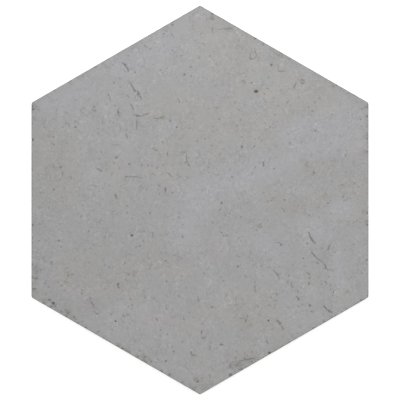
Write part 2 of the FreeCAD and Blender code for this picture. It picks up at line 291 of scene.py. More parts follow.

# Patches of the stone look, read from the photo: the radius in its pixels, the strength, and the places of
# the line that the patch follows. A negative strength clears a hole in the patches round it.
WARM_PATCHES = (
    (19, 1.0, ((216, 34), (224, 60), (234, 84))), (14, 1.0, ((238, 46), (258, 64))),
    (14, 1.0, ((284, 82), (308, 94), (328, 98))), (18, 1.0, ((256, 80), (284, 108))),
    (15, 1.0, ((194, 126), (230, 122), (266, 130))), (9, 0.9, ((204, 140), (214, 146))),
    (9, 0.9, ((166, 98), (180, 92))), (6, 0.9, ((148, 116), (163, 115))),
    (10, 0.9, ((162, 146), (171, 151))), (9, 0.8, ((186, 106), (188, 134))),
    (9, 0.8, ((194, 104), (234, 102))), (17, 1.0, ((48, 142), (56, 160), (62, 192))),
    (9, 0.9, ((74, 156),)), (7, 0.9, ((112, 165), (117, 173))), (9, 0.8, ((156, 172), (170, 178))),
    (5, 0.8, ((119, 190), (124, 201))), (12, 1.0, ((64, 266), (92, 262))),
    (11, 1.0, ((64, 280), (84, 288))), (10, 1.0, ((102, 284), (130, 294))),
    (9, 1.0, ((124, 270), (150, 267), (186, 270))), (7, 0.9, ((146, 254), (157, 240))),
    (7, 0.8, ((90, 298),)), (6, 0.8, ((145, 305),)), (13, 1.0, ((230, 306), (254, 298), (266, 306))),
    (14, 1.0, ((252, 318), (274, 324))), (8, 1.0, ((214, 308), (236, 320))), (9, 0.9, ((285, 333),)),
    (7, 0.9, ((174, 328), (200, 322))), (8, 0.9, ((240, 359), (256, 354))),
    (10, 1.0, ((270, 196), (290, 207), (320, 200))),
    (9, 0.9, ((308, 170), (330, 168), (344, 184), (358, 191))), (5, 0.8, ((258, 227),)),
    (5, 0.8, ((222, 220),)), (6, 0.8, ((213, 240),)), (9, 0.8, ((206, 378),)), (5, 0.8, ((194, 356),)),
    (6, 0.7, ((306, 278),)), (5, 0.8, ((348, 292),)), (8, 0.9, ((358, 217),)), (6, 0.8, ((155, 212),)),
    (6, 0.7, ((221, 347),)), (5, 0.7, ((104, 106),)), (5, 0.6, ((122, 120),)), (4, 0.7, ((166, 200),)),
    (4, 0.7, ((108, 236),)), (5, 0.7, ((300, 256),)), (4, 0.7, ((133, 86),)), (4, 0.6, ((98, 126),)),
    (5, 0.7, ((186, 164),)), (7, -1.0, ((250, 104),)), (7, -1.0, ((263, 78),)),
    (8, -1.0, ((210, 88), (224, 90))), (5, -0.9, ((240, 308),)),
)
COOL_PATCHES = (
    (12, 1.0, ((116, 68), (148, 56), (168, 43))), (6, 0.9, ((187, 39),)),
    (9, 1.0, ((42, 106), (70, 99), (90, 88))), (5, 0.9, ((130, 70), (160, 64))),
    (12, 1.0, ((292, 134), (312, 127), (334, 132), (354, 126))), (10, 0.9, ((304, 148), (336, 150))),
    (7, 0.9, ((356, 115),)), (6, 0.8, ((340, 106), (346, 112))),
    (15, 1.0, ((184, 226), (190, 208), (203, 197))), (12, 1.0, ((210, 195), (232, 180), (250, 173))),
    (9, 1.0, ((252, 172), (270, 170), (282, 164))), (7, 0.9, ((272, 176), (280, 184))),
    (6, 0.8, ((292, 156),)), (5, 0.8, ((240, 154),)), (9, 1.2, ((317, 232), (323, 226))),
    (7, 0.9, ((334, 205), (343, 210))), (7, 0.9, ((265, 247), (273, 252))), (6, 0.8, ((285, 240),)),
    (5, 1.0, ((339, 258), (338, 284))), (8, 0.9, ((286, 305),)), (5, 0.8, ((218, 292),)),
    (5, 0.7, ((187, 293),)), (5, 0.9, ((92, 180), (100, 178))), (6, 0.8, ((45, 275),)),
    (5, 0.7, ((112, 334),)), (5, 0.7, ((93, 326),)), (5, 0.7, ((62, 307),)),
)
ROSE_PATCHES = (
    (8, 1.0, ((210, 254), (217, 257))), (5, 0.9, ((208, 236),)), (9, 1.0, ((150, 318), (168, 321))),
    (7, 1.0, ((84, 300), (93, 309))), (6, 0.9, ((78, 290),)), (8, 1.0, ((356, 150),)),
    (6, 0.9, ((355, 195),)), (4, 0.9, ((300, 195),)), (6, 0.9, ((312, 212),)), (6, 0.9, ((243, 222),)),
    (6, 0.9, ((355, 231),)), (6, 0.9, ((206, 318), (214, 321))), (6, 0.9, ((176, 259),)),
    (5, 0.8, ((164, 243),)), (6, 0.8, ((132, 233),)), (5, 0.8, ((107, 211),)), (6, 0.9, ((308, 311),)),
    (5, 0.8, ((141, 331),)), (5, 0.8, ((161, 363),)), (6, 0.8, ((200, 371),)), (3, 0.8, ((143, 348),)),
    (4, 0.8, ((86, 178),)), (5, 0.8, ((245, 50),)), (5, 0.8, ((268, 68),)), (4, 0.8, ((205, 19),)),
    (6, 0.9, ((128, 296),)), (6, 0.9, ((60, 251),)), (5, 0.7, ((52, 284),)), (5, 0.8, ((324, 187),)),
    (5, 0.8, ((347, 181),)), (5, 0.7, ((140, 257),)), (4, 0.8, ((133, 186),)), (4, 0.7, ((168, 376),)),
    (5, 0.8, ((244, 337),)), (4, 0.7, ((315, 162),)), (4, 0.7, ((156, 262),)), (4, 0.8, ((77, 276),)),
    (4, 0.7, ((187, 255),)), (4, 0.7, ((110, 290),)),
)

# Lighter and darker places, in the same way
TONE_PATCHES = (
    (16, 1.6, ((148, 54), (170, 40), (192, 28))), (12, 1.0, ((116, 72), (136, 62))),
    (13, 0.9, ((66, 104), (96, 84))), (36, 0.5, ((150, 66), (222, 44), (270, 74))),
    (12, 0.5, ((232, 98), (258, 100))), (8, 0.5, ((262, 78),)),
    (11, 1.3, ((184, 238), (186, 212), (196, 197))), (12, 1.2, ((202, 192), (226, 184), (254, 179))),
    (11, 0.9, ((256, 172), (284, 160), (304, 154))), (13, 1.2, ((290, 136), (318, 122), (354, 124))),
    (12, 1.0, ((308, 148), (340, 146), (362, 134))), (6, 0.8, ((342, 104),)),
    (11, 1.5, ((315, 232), (328, 220), (342, 210))), (9, 1.1, ((268, 248),)),
    (7, 1.3, ((338, 256), (338, 282))), (8, 0.9, ((95, 177),)), (10, 0.5, ((214, 292), (228, 296))),
    (7, 0.6, ((288, 232),)), (7, 0.7, ((272, 286), (288, 304), (298, 324))), (12, 0.3, ((122, 136),)),
    (10, 0.3, ((250, 120),)), (26, 1.2, ((126, 72), (158, 54), (200, 36))),
    (22, -0.9, ((42, 150), (46, 280))), (26, 0.5, ((130, 320), (180, 356), (212, 362))),
    (16, 0.6, ((300, 316), (340, 290))), (16, -1.2, ((42, 142), (54, 166), (58, 188))),
    (8, -0.8, ((60, 172),)), (16, -1.1, ((42, 226), (52, 252))), (18, -1.1, ((52, 272), (92, 270))),
    (10, -1.0, ((42, 291), (68, 311), (96, 304))), (8, -1.4, ((64, 277),)),
    (26, -0.8, ((70, 222), (120, 236))), (15, -0.9, ((126, 266), (166, 258))),
    (12, -0.6, ((104, 290), (122, 284))), (9, -0.5, ((166, 214), (168, 232))),
    (9, -0.5, ((222, 216), (252, 212))), (7, -0.5, ((68, 121),)),
    (9, -1.1, ((272, 194), (292, 206), (322, 200))), (11, -0.9, ((312, 168), (340, 170), (358, 184))),
    (6, -1.2, ((234, 364), (250, 357))), (7, -1.1, ((200, 385),)), (6, -0.8, ((277, 323),)),
    (8, -0.7, ((246, 322),)), (6, -0.9, ((357, 220),)), (5, -0.6, ((194, 355),)),
    (7, -0.8, ((328, 309),)), (5, -0.8, ((348, 292),)), (6, -0.7, ((328, 246), (320, 258))),
    (6, -0.6, ((222, 20), (232, 27))), (7, -0.5, ((306, 108),)), (7, -0.5, ((94, 108),)),
    (6, -0.5, ((185, 154),)), (7, -0.4, ((252, 286),)), (6, -0.6, ((245, 50),)), (5, -0.7, ((258, 92),)),
    (7, -0.4, ((162, 118),)),
)

# Brown and grey stains, with place, radius in photo pixels, darkness and rust
STAINS = (
    (212, 18, 3.5, 0.14, 0.5), (230, 29, 5.0, 0.12, 0.1), (263, 44, 3.0, 0.18, 0.3),
    (280, 55, 4.5, 0.14, 0.2), (300, 64, 3.0, 0.14, 0.1), (333, 86.4, 2.8, 0.12, 0.4),
    (366.4, 107, 3.6, 0.09, 0.6), (366, 115.8, 2.6, 0.2, 0.2), (364, 138, 3.0, 0.12, 0.1),
    (366.8, 126, 3.0, 0.2, 0.1), (366.8, 134, 3.0, 0.2, 0.1), (365, 152, 4.5, 0.13, 0.2),
    (364, 212, 3.0, 0.24, 0.1), (365.5, 222, 2.5, 0.14, 0.3), (366, 260.4, 2.5, 0.22, 0.0),
    (232, 366, 4.0, 0.22, 0.1), (240, 364, 4.5, 0.23, 0.0), (249, 361, 4.0, 0.2, 0.0),
    (256, 358.6, 3.0, 0.14, 0.1), (244, 366, 3.5, 0.1, 0.0), (196, 379, 3.0, 0.2, 0.7),
    (230.5, 374, 2.2, 0.32, 0.9), (118.4, 345.4, 3.2, 0.14, 0.7), (126, 349.8, 3.0, 0.16, 0.6),
    (130.4, 352, 2.6, 0.14, 0.1), (138, 356.6, 3.6, 0.12, 0.1), (145, 360, 4.4, 0.12, 0.6),
    (151, 361.5, 2.6, 0.1, 0.3), (50.6, 300.3, 2.4, 0.16, 0.5), (45, 301, 3.8, 0.09, 0.4),
    (54.2, 304.6, 3.0, 0.14, 0.2), (68, 312.4, 3.8, 0.18, 0.25), (74.6, 318, 3.0, 0.12, 0.1),
    (36, 271, 5.0, 0.06, 0.3), (35, 280, 5.0, 0.1, 0.1), (35, 290, 4.0, 0.17, 0.0),
    (35, 107, 4.5, 0.14, 0.1), (250, 326, 2.8, 0.03, 0.7), (66.4, 281.6, 2.6, 0.08, 0.7),
    (347.4, 291, 3.0, 0.08, 0.3), (259.4, 227, 3.4, 0.08, 0.15), (243.4, 81.6, 2.6, 0.08, 0.2),
    (254.8, 91.7, 1.7, 0.3, 0.9), (134.4, 90.4, 2.0, 0.2, 0.6), (302, 82, 2.6, 0.02, 0.5),
    (162, 117.4, 3.0, 0.09, 0.3), (55, 166.6, 3.0, 0.05, 0.5), (60.6, 167, 2.2, 0.1, 0.3),
    (94, 109.4, 2.6, 0.12, 0.35), (126, 177, 2.2, 0.08, 0.5), (359, 303, 4.0, 0.08, 0.0),
    (182.6, 381.6, 2.8, 0.12, 0.0), (190, 385.5, 3.6, 0.08, 0.2), (205, 387, 4.0, 0.12, 0.2),
    (211, 383, 4.0, 0.12, 0.2), (68, 124.4, 3.0, 0.08, 0.3), (84, 325, 3.4, 0.1, 0.0),
    (98, 332, 2.4, 0.1, 0.0), (96, 66, 3.0, 0.14, 0.0), (169, 374, 3.0, 0.16, 0.2),
    (62, 311, 3.0, 0.1, 0.0), (341, 89, 3.4, 0.07, 0.1), (289, 58.6, 2.2, 0.2, 0.0),
    (282, 54.6, 2.2, 0.18, 0.1), (270, 47.8, 2.4, 0.16, 0.0), (71, 81.8, 4.4, 0.09, 0.0),
    (79, 78, 2.4, 0.12, 0.0), (34, 119.6, 3.0, 0.14, 0.1), (32.8, 277, 2.6, 0.14, 0.1),
    (36, 292.4, 3.4, 0.12, 0.0), (119.6, 345.4, 3.0, 0.12, 0.3), (86, 326.4, 2.4, 0.14, 0.0),
    (330.6, 316.4, 2.0, 0.18, 0.0), (33.4, 267.4, 3.4, 0.12, 0.1), (33, 283.4, 2.6, 0.12, 0.1),
    (143, 355.8, 4.2, 0.12, 0.25), (121, 347, 2.4, 0.12, 0.4), (194, 388.4, 2.6, 0.2, 0.1),
    (323, 320.8, 2.4, 0.24, 0.1), (331, 84.6, 2.6, 0.12, 0.1),
)
EDGE_CHIPS = (
    (94, 66.6, 1.2), (86, 71.2, 1.4), (255, 38.2, 2.0), (212.5, 13.8, 1.6), (32.7, 139.8, 2.1),
    (32.6, 225, 1.3), (230.6, 375, 1.9), (269.4, 353, 1.4), (367, 116.2, 2.0), (366.9, 138.8, 1.2),
    (367.2, 213, 2.2), (367.2, 224.6, 1.2), (171.5, 22.3, 1.7), (32.8, 109.5, 1.7), (33, 106.4, 1.0),
    (258.4, 359.2, 1.0), (241.4, 369.2, 1.5), (182.5, 382.8, 0.8), (169.6, 375.4, 1.3), (127, 350.8, 0.8),
    (50.5, 306.8, 1.2), (43.5, 303.4, 1.0), (361, 300, 1.0), (86, 328, 1.4), (66, 316.4, 1.4),
    (32.4, 237.5, 1.2), (32.4, 242.5, 1.3), (161, 371.2, 1.4), (137.5, 357.6, 1.2), (146, 362.2, 1.1),
    (122.6, 348.6, 1.3), (32.4, 253.5, 0.5), (367.4, 151.8, 0.7), (367.4, 296, 1.2), (340.6, 88.6, 1.3),
    (352.5, 94.8, 0.5), (330.3, 82.6, 0.7), (276.5, 53.4, 0.8), (367.4, 107.5, 1.1), (104, 338, 0.9),
    (367, 260, 1.0), (234.4, 371.8, 0.8), (239, 369.4, 1.0), (246, 365.4, 0.8), (252, 361.6, 1.3),
    (313, 328, 1.1), (78, 323, 1.0), (32.4, 196, 0.6), (32.4, 264, 1.0),
)

# Depth, as a share of the deepest, darkness and rust of each kind of mark
DEEP_LOOK = (0.9, 0.4, 0.06)
MEDIUM_LOOK = (0.65, 0.35, 0.05)
FINE_LOOK = (0.45, 0.28, 0.04)
HAIR_LOOK = (0.25, 0.17, 0.02)
BLACK_LOOK = (1.0, 0.86, 0.1)
DEEP_PIT_LOOK = (0.8, 0.46, 0.06)
DARK_LOOK = (0.5, 0.36, 0.05)
FAINT_LOOK = (0.3, 0.26, 0.03)
SOFT_LOOK = (0.15, 0.22, 0.0)
CHIP_LOOK = (0.7, 0.6, 0.1)
RUST_SHARE = 0.5

# Radius of each kind of fissure in photo pixels, and of a pit as a share of the radius listed for it
DEEP_RADIUS = 0.95
MEDIUM_RADIUS = 0.8
FINE_RADIUS = 0.7
HAIR_RADIUS = 0.65
PIT_SHARE = 0.93

# A pit is a short bent line: half its length lies between two shares of its radius, and the bend is up to
# a share of that half
PIT_HALF = (0.05, 0.35)
PIT_BEND = 0.8

# How uneven the darkness and the outline of each kind of mark are
PIT_PATCHY = 0.2
PIT_RAGGED = 0.3
FISSURE_PATCHY = 0.7
FISSURE_RAGGED = 0.45
SMUDGE_RAGGED = 0.45

# How much the width of a mark sways, how wide it still is at its ends, and how far its line strays
WIDTH_SWAY = 0.5
END_WIDTH = 0.6
STRAY = 0.00022

# Scales of the noise behind these
WIDTH_SCALE = 900
PATCHY_SCALE = 700
STRAY_SCALE = 600
RAGGED_SCALE = 1500
SMUDGE_SCALE = 500

# How far from a mark's line and from a smudge's place they can reach, as shares of the radius, the step
# along the line, and how flat the dark middle of a mark is
MARK_REACH = 1.4
SMUDGE_REACH = 1.5
LINE_STEP = 0.00015
STAIN_FILL = 1.25

# Marks strewn on the face: lengths and radii in photo pixels, the bend as a share of the length, the turn
# of the stone's grain and its spread in degrees, how much further they go up and down than across, and the
# distance kept from the edge. The strength is the first value plus up to the second.
STREWN_LENGTHS = (0.0, 0.0, 0.5, 1.0, 2.0, 3.0)
STREWN_RADII = (0.6, 0.95)
STREWN_BEND = 0.2
STREWN_TURN = -60
STREWN_SPREAD = 35
STREWN_RISE = 1.16
STREWN_RIM = 0.0015
STREWN_STRENGTH = (0.09, 0.26)
STREWN_RUST = 0.03

# Nicks strewn along the arris, in the same way
NICK_LENGTH = 2
NICK_RADII = (0.5, 0.9)
NICK_STRENGTH = (0.15, 0.45)

# Cuts of the mesh: the distance at which points merge, the angles that count as sharp on the back and as
# flat, the upward part of a level face's normal, the gap kept between the last cut and the edge, and the
# edge length below which a face is dropped
MERGE = 0.000001
SHARP_ANGLE = math.radians(25)
FLAT_ANGLE = math.radians(0.5)
LEVEL = 0.999
LAST_GAP = 0.001
THINNEST = 0.000005

# Finer cells: cells to the radius of a mark and of a smudge, and the length from which an edge is halved,
# as a share of the cell. It has its middle within MIDDLE_REACH cells of a mark, or an end within a share of
# the mark's radius, which is larger for a mark that is deep.
MARK_CELLS = 2.4
SMUDGE_CELLS = 1.6
CELL_SLACK = 1.01
LONG_EDGE = 0.6
SEARCH_REACH = 0.8
MIDDLE_REACH = 0.52
DEEP_FROM = 0.4
DEEP_ENDS = 1.1
SHALLOW_ENDS = 0.9

# A point with an edge of more cells than this takes no part in a mark, which would leak along that edge
LEAK_CELLS = 3.2

# The strip along the edge: its reach inwards and down, its cells, and its shade, which fades inwards and is
# swayed by a broad and a fine noise, each with its strength and scale
RIM_REACH = 0.003
RIM_CELL = 0.0015
RIM_DROP = ARRIS * 1.2
RIM_SHADE = 0.045
RIM_FADE = 0.0014
RIM_BROAD = (0.8, 70)
RIM_FINE = (1.2, 260)

# The surface: how ragged the patches are, the tone values that are told apart and how far they lighten or
# darken, the weights of the grain's three sizes, the roughness, and the strength and height of the bump
PATCH_SWAY = 2.8
TONE_SPAN = 1.6
TONE_REACH = 0.052
NOISE_MIDDLE = 0.5
BROAD_GRAIN = 0.28
MIDDLE_GRAIN = 0.4
FINE_GRAIN = 0.6
LEAST_ROUGHNESS = 0.54
ROUGHNESS_SWAY = 0.16
SPECULAR = 0.3
BUMP = 0.6
FACE_BUMP = 0.00006
BODY_BUMP = 0.0001

# The faces that look up by more than this are the stone look, and sharper edges than this stay sharp
FACING_UP = 0.05
SMOOTH_ANGLE = math.radians(38)

# The stage: the gap under the tile, the floor's roughness, the spread of the light from above, and the
# nearest that the camera sees
FLOOR_GAP = 0.00003
FLOOR_ROUGHNESS = 0.9
SUN_SPREAD = math.radians(70)
NEAREST = 0.01

# Names of what the face material reads
STAIN = "stain"
# The soil layer holds the smudges' soil and the painted shade along the rim
SOIL_AND_RIM_SHADE = "soil_and_rim_shade"
RUST = "rust"
WARM = "warm"
COOL = "cool"
ROSE = "rose"
TONE = "tone"

# Name of the depth that is stored to press the marks in
WEAR = "wear"


class TileRelief(bpy.types.PropertyGroup):
    """Sizes of the marks in the face."""
    grid: bpy.props.FloatProperty(
        name="Grid", description="Spacing of the first cuts across the face",
        default=0.004, unit="LENGTH")
    finest: bpy.props.FloatProperty(
        name="Finest cell", description="Edge length of the mesh inside a mark",
        default=0.00025, unit="LENGTH")
    rim_loop: bpy.props.FloatProperty(
        name="Rim loop", description="Width of the ring of faces inside the arris",
        default=0.0003, unit="LENGTH")
    key_rounding: bpy.props.FloatProperty(
        name="Key rounding", description="Rounding of the edges of the moulded keys",
        default=0.00012, unit="LENGTH")
    depth: bpy.props.FloatProperty(
        name="Mark depth", description="Depth of the deepest fissure",
        default=0.0005, unit="LENGTH")
    small_marks: bpy.props.IntProperty(
        name="Small marks", description="Number of faint marks strewn between the others",
        default=450)
    clearance: bpy.props.FloatProperty(
        name="Clearance", description="How far the faint marks stay away from the strong ones",
        default=0.002, unit="LENGTH")
    edge_nicks: bpy.props.IntProperty(
        name="Edge nicks", description="Number of small nicks strewn along the arris",
        default=240)
    seed: bpy.props.IntProperty(
        name="Seed", description="Start of the random draws and of the noise that bends the marks",
        default=11)


class TileFinish(bpy.types.PropertyGroup):
    """Colours of the fired tile."""
    stone: bpy.props.FloatVectorProperty(
        name="Stone", description="Plain grey of the face",
        default=(0.3575, 0.357, 0.3572), subtype="COLOR")
    cool: bpy.props.FloatVectorProperty(
        name="Cool patches", description="Colour of the lavender patches",
        default=(0.3592, 0.3595, 0.3716), subtype="COLOR")
    warm: bpy.props.FloatVectorProperty(
        name="Warm patches", description="Colour of the beige patches",
        default=(0.3648, 0.3588, 0.3480), subtype="COLOR")
    rose: bpy.props.FloatVectorProperty(
        name="Rose patches", description="Colour of the small reddish patches",
        default=(0.364, 0.351, 0.3568), subtype="COLOR")
    # Also the colour that the smudges' soil and the painted shade along the rim darken towards
    dirt_and_shade: bpy.props.FloatVectorProperty(
        name="Marks", description="Colour at the bottom of the fissures",
        default=(0.052, 0.047, 0.040), subtype="COLOR")
    rust: bpy.props.FloatVectorProperty(
        name="Rust", description="Colour of the brown stains",
        default=(0.26, 0.19, 0.13), subtype="COLOR")
    body: bpy.props.FloatVectorProperty(
        name="Body", description="Colour of the bare porcelain",
        default=(0.385, 0.376, 0.358), subtype="COLOR")
    wash: bpy.props.FloatVectorProperty(
        name="Kiln wash", description="Colour of the powder on the ribs of the back",
        default=(0.60, 0.585, 0.555), subtype="COLOR")


class TileStage(bpy.types.PropertyGroup):
    """Floor, light and camera."""
    floor_side: bpy.props.FloatProperty(
        name="Floor", description="Side of the floor",
        default=8.0, unit="LENGTH")
    floor_color: bpy.props.FloatVectorProperty(
        name="Floor colour", description="Colour of the floor",
        default=(0.8, 0.8, 0.8), subtype="COLOR")
    floor_glow: bpy.props.FloatProperty(
        name="Floor glow", description="What the camera sees on top of the lit floor",
        default=0.53)
    sky: bpy.props.FloatProperty(
        name="Sky", description="Strength of the light from all round",
        default=0.31)
    overhead: bpy.props.FloatProperty(
        name="Overhead light", description="Strength of the broad light from above, in W/m2",
        default=1.1)
    lamp_power: bpy.props.FloatProperty(
        name="Lamp", description="Power of the lamp beyond the top right of the tile",
        default=1.36, unit="POWER")
    lamp_place: bpy.props.FloatVectorProperty(
        name="Lamp place", description="Place of the lamp",
        default=(0.06, 0.27, 0.62), subtype="XYZ", unit="LENGTH")
    lamp_side: bpy.props.FloatProperty(
        name="Lamp side", description="Side of the square lamp",
        default=0.3, unit="LENGTH")
    lens: bpy.props.FloatProperty(
        name="Lens", description="Focal length",
        default=100.0, unit="CAMERA")
    sensor: bpy.props.FloatProperty(
        name="Sensor", description="Width of the sensor",
        default=36.0, unit="CAMERA")


def on_tile(point):
    """Place on the face of a pixel of the photo."""
    across = (point[0] - PHOTO_MIDDLE) * PIXEL
    along = (PHOTO_MIDDLE - point[1]) * PIXEL
    return Vector((across, along, FACE_Z))


def to_edge(place):
    """Distance of a place on the face from the nearest edge of the hexagon."""
    reach = 0.0
    for side in range(SIDES):
        turn = side * SIDE_TURN
        reach = max(reach, place.x * math.cos(turn) + place.y * math.sin(turn))
    return APOTHEM - reach


def along_line(points, step):
    """Points along a line, no further apart than the step."""
    found = [points[0]]
    for start, end in zip(points, points[1:]):
        count = max(1, math.ceil((end - start).length / step))
        for index in range(count):
            found.append(start.lerp(end, (index + 1) / count))
    return found


def tree_of(points):
    """A search tree of the points, by their place in the list."""
    tree = kdtree.KDTree(len(points))
    for index, point in enumerate(points):
        tree.insert(point, index)
    tree.balance()
    return tree


class Mark:
    """A line of points with one radius that is sunk into the face, or a smudge that only soils it."""

    def __init__(self, points, radius, look, patchy=PIT_PATCHY, ragged=PIT_RAGGED, smudge=False):
        self.points = points
        self.radius = radius
        self.patchy = patchy
        self.ragged = ragged
        self.depth, self.stain, self.rust = look
        self.smudge = smudge
        self.cell = radius / (SMUDGE_CELLS if smudge else MARK_CELLS)
        self.ends = radius * (DEEP_ENDS if self.depth > DEEP_FROM else SHALLOW_ENDS)


def squiggle(place, radius):
    """Three points close to a place, which give a pit a crooked shape of its own."""
    draw = random.Random("%.5f %.5f" % (place.x, place.y))
    turn = draw.uniform(0, math.tau)
    ahead = Vector((math.cos(turn), math.sin(turn), 0)) * radius * draw.uniform(*PIT_HALF)
    aside = Vector((-ahead.y, ahead.x, 0)) * draw.uniform(-PIT_BEND, PIT_BEND)
    return [place - ahead, place + aside, place + ahead]


def listed_marks():
    """The marks that the photo shows, from the lists above."""
    marks = []
    for lines, width, look in ((DEEP_FISSURES, DEEP_RADIUS, DEEP_LOOK),
                               (MEDIUM_FISSURES, MEDIUM_RADIUS, MEDIUM_LOOK),
                               (FINE_FISSURES, FINE_RADIUS, FINE_LOOK),
                               (HAIRLINES, HAIR_RADIUS, HAIR_LOOK)):
        for line in lines:
            marks.append(Mark([on_tile(point) for point in line], width * PIXEL, look,
                              patchy=FISSURE_PATCHY, ragged=FISSURE_RAGGED))
    for pits, look in ((BLACK_PITS, BLACK_LOOK), (DEEP_PITS, DEEP_PIT_LOOK), (DARK_PITS, DARK_LOOK),
                       (FAINT_PITS, FAINT_LOOK), (SOFT_PITS, SOFT_LOOK)):
        for across, down, radius in pits:
            place = on_tile((across, down))
            marks.append(Mark(squiggle(place, radius * PIXEL), radius * PIXEL * PIT_SHARE, look))
    for across, down, radius, darkness, rust in STAINS:
        look = (0.0, darkness, rust * RUST_SHARE)
        marks.append(Mark([on_tile((across, down))], radius * PIXEL, look, smudge=True))
    for across, down, radius in EDGE_CHIPS:
        place = on_tile((across, down))
        place.z = FACE_Z - ARRIS_DROP
        marks.append(Mark([place], radius * PIXEL, CHIP_LOOK))
    return marks


def drawn_strength(draw, bounds):
    """A random strength, more often weak than strong."""
    least, more = bounds
    return least + more * draw.random() ** 2


def faint_marks(relief, draw):
    """Small faint marks at random places clear of the strong ones, most along the stone's grain."""
    strong = [on_tile(pit) for pit in BLACK_PITS + DEEP_PITS + DARK_PITS]
    for line in DEEP_FISSURES + MEDIUM_FISSURES + FINE_FISSURES:
        strong += along_line([on_tile(point) for point in line], PIXEL)
    tree = tree_of(strong)
    marks = []
    while len(marks) < relief.small_marks:
        across = draw.uniform(-1, 1) * APOTHEM
        place = Vector((across, draw.uniform(-1, 1) * APOTHEM * STREWN_RISE, FACE_Z))
        turn = math.radians(draw.gauss(STREWN_TURN, STREWN_SPREAD))
        length = draw.choice(STREWN_LENGTHS) * PIXEL
        ahead = Vector((math.cos(turn), math.sin(turn), 0)) * length
        aside = Vector((-ahead.y, ahead.x, 0)) * draw.uniform(-STREWN_BEND, STREWN_BEND)
        line = [place, place + ahead / 2 + aside, place + ahead]
        if min(to_edge(point) for point in line) < STREWN_RIM:
            continue
        if min(tree.find(point)[2] for point in line) < relief.clearance:
            continue
        strength = drawn_strength(draw, STREWN_STRENGTH)
        marks.append(Mark(line, draw.uniform(*STREWN_RADII) * PIXEL, (strength, strength, STREWN_RUST)))
    return marks


def edge_nicks(relief, draw):
    """Small nicks at random places along the arris."""
    marks = []
    half_side = APOTHEM * math.tan(SIDE_TURN / 2)
    for index in range(relief.edge_nicks):
        turn = draw.randrange(SIDES) * SIDE_TURN
        out = Vector((math.cos(turn), math.sin(turn), 0))
        along = Vector((-out.y, out.x, 0))
        place = out * (APOTHEM - ARRIS_DROP) + along * draw.uniform(-1, 1) * half_side
        place.z = FACE_Z - ARRIS_DROP
        strength = drawn_strength(draw, NICK_STRENGTH)
        line = [place, place + along * draw.uniform(0, NICK_LENGTH) * PIXEL]
        marks.append(Mark(line, draw.uniform(*NICK_RADII) * PIXEL, (strength, strength, 0.0)))
    return marks


def all_marks(relief):
    """The listed marks and the strewn ones."""
    draw = random.Random(relief.seed)
    return listed_marks() + faint_marks(relief, draw) + edge_nicks(relief, draw)


def only_active(piece):
    """Makes the piece the only selected and the active object."""
    bpy.ops.object.select_all(action="DESELECT")
    piece.select_set(True)
    bpy.context.view_layer.objects.active = piece


def select_faces(piece, wanted):
    """In edit mode, selects only the faces that are wanted."""
    cage = bmesh.from_edit_mesh(piece.data)
    for face in cage.faces:
        face.select_set(wanted(face))
    cage.select_flush_mode()
    bmesh.update_edit_mesh(piece.data)


def above_slope(face):
    """True for the face, the arris and the upright part of the edge."""
    return face.calc_center_median().z > UPRIGHT_Z


def copy_of_solid():
    """A copy of the CAD tile as a piece of its own, with its loose triangles merged."""
    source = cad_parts[NODE]
    tile = bpy.data.objects.new("tile", source.data.copy())
    bpy.context.collection.objects.link(tile)
    only_active(tile)
    bpy.ops.object.mode_set(mode="EDIT")
    bpy.context.tool_settings.mesh_select_mode = (False, False, True)
    bpy.ops.mesh.select_all(action="SELECT")
    bpy.ops.mesh.remove_doubles(threshold=MERGE)
    bpy.ops.object.mode_set(mode="OBJECT")
    return tile


def middle_of(edge):
    """Middle of an edge of the mesh."""
    return (edge.verts[0].co + edge.verts[1].co) / 2


def round_keys(tile, width):
    """Rounds the edges of the moulded keys of the back."""
    bpy.ops.object.mode_set(mode="EDIT")
    bpy.context.tool_settings.mesh_select_mode = (False, True, False)
    cage = bmesh.from_edit_mesh(tile.data)
    for edge in cage.edges:
        middle = middle_of(edge)
        sharp = len(edge.link_faces) == 2 and edge.calc_face_angle() > SHARP_ANGLE
        edge.select_set(sharp and middle.z < BACK_Z and to_edge(middle) > PLAIN_RIM)
    bmesh.update_edit_mesh(tile.data)
    bpy.ops.mesh.bevel(offset=width, segments=2, affect="EDGES", clamp_overlap=True)
    bpy.context.tool_settings.mesh_select_mode = (False, False, True)
    bpy.ops.object.mode_set(mode="OBJECT")


def cut_grid(tile, relief):
    """Cuts the face and the upright edge into a grid, with a narrow ring inside the arris."""
    bpy.ops.object.mode_set(mode="EDIT")
    select_faces(tile, above_slope)
    bpy.ops.mesh.dissolve_limited(angle_limit=FLAT_ANGLE)
    select_faces(tile, lambda face: face.normal.z > LEVEL)
    bpy.ops.mesh.inset(thickness=relief.rim_loop, depth=0)
    half = relief.grid / 2
    for axis, reach in ((Vector((1, 0, 0)), HIGH[0]), (Vector((0, 1, 0)), HIGH[1])):
        count = math.floor((reach - half - LAST_GAP) / relief.grid)
        for index in range(-count - 1, count + 1):
            select_faces(tile, above_slope)
            place = axis * (relief.grid * index + half)
            bpy.ops.mesh.bisect(plane_co=place, plane_no=axis, threshold=MERGE)
    bpy.ops.object.mode_set(mode="OBJECT")


def split_faces(tile):
    """Splits the faces of more than four sides, which would not be cut any finer."""
    bpy.context.tool_settings.mesh_select_mode = (False, False, True)
    select_faces(tile, lambda face: len(face.verts) > 4 and above_slope(face))
    bpy.ops.mesh.quads_convert_to_tris(ngon_method="BEAUTY")
    bpy.context.tool_settings.mesh_select_mode = (False, True, False)


def long_edges(cage, length):
    """The edges above the slope that are longer than the length."""
    return [edge for edge in cage.edges if edge.calc_length() > length and middle_of(edge).z > UPRIGHT_Z]


def select_near(mark, edges, tree, cell):
    """Selects those of the edges that lie on a mark or next to it."""
    for point in along_line(mark.points, cell / 2):
        for _, index, away in tree.find_range(point, mark.radius + cell * SEARCH_REACH):
            ends = min((vertex.co - point).length for vertex in edges[index].verts)
            if away < mark.radius + cell * MIDDLE_REACH or ends < mark.ends:
                edges[index].select_set(True)


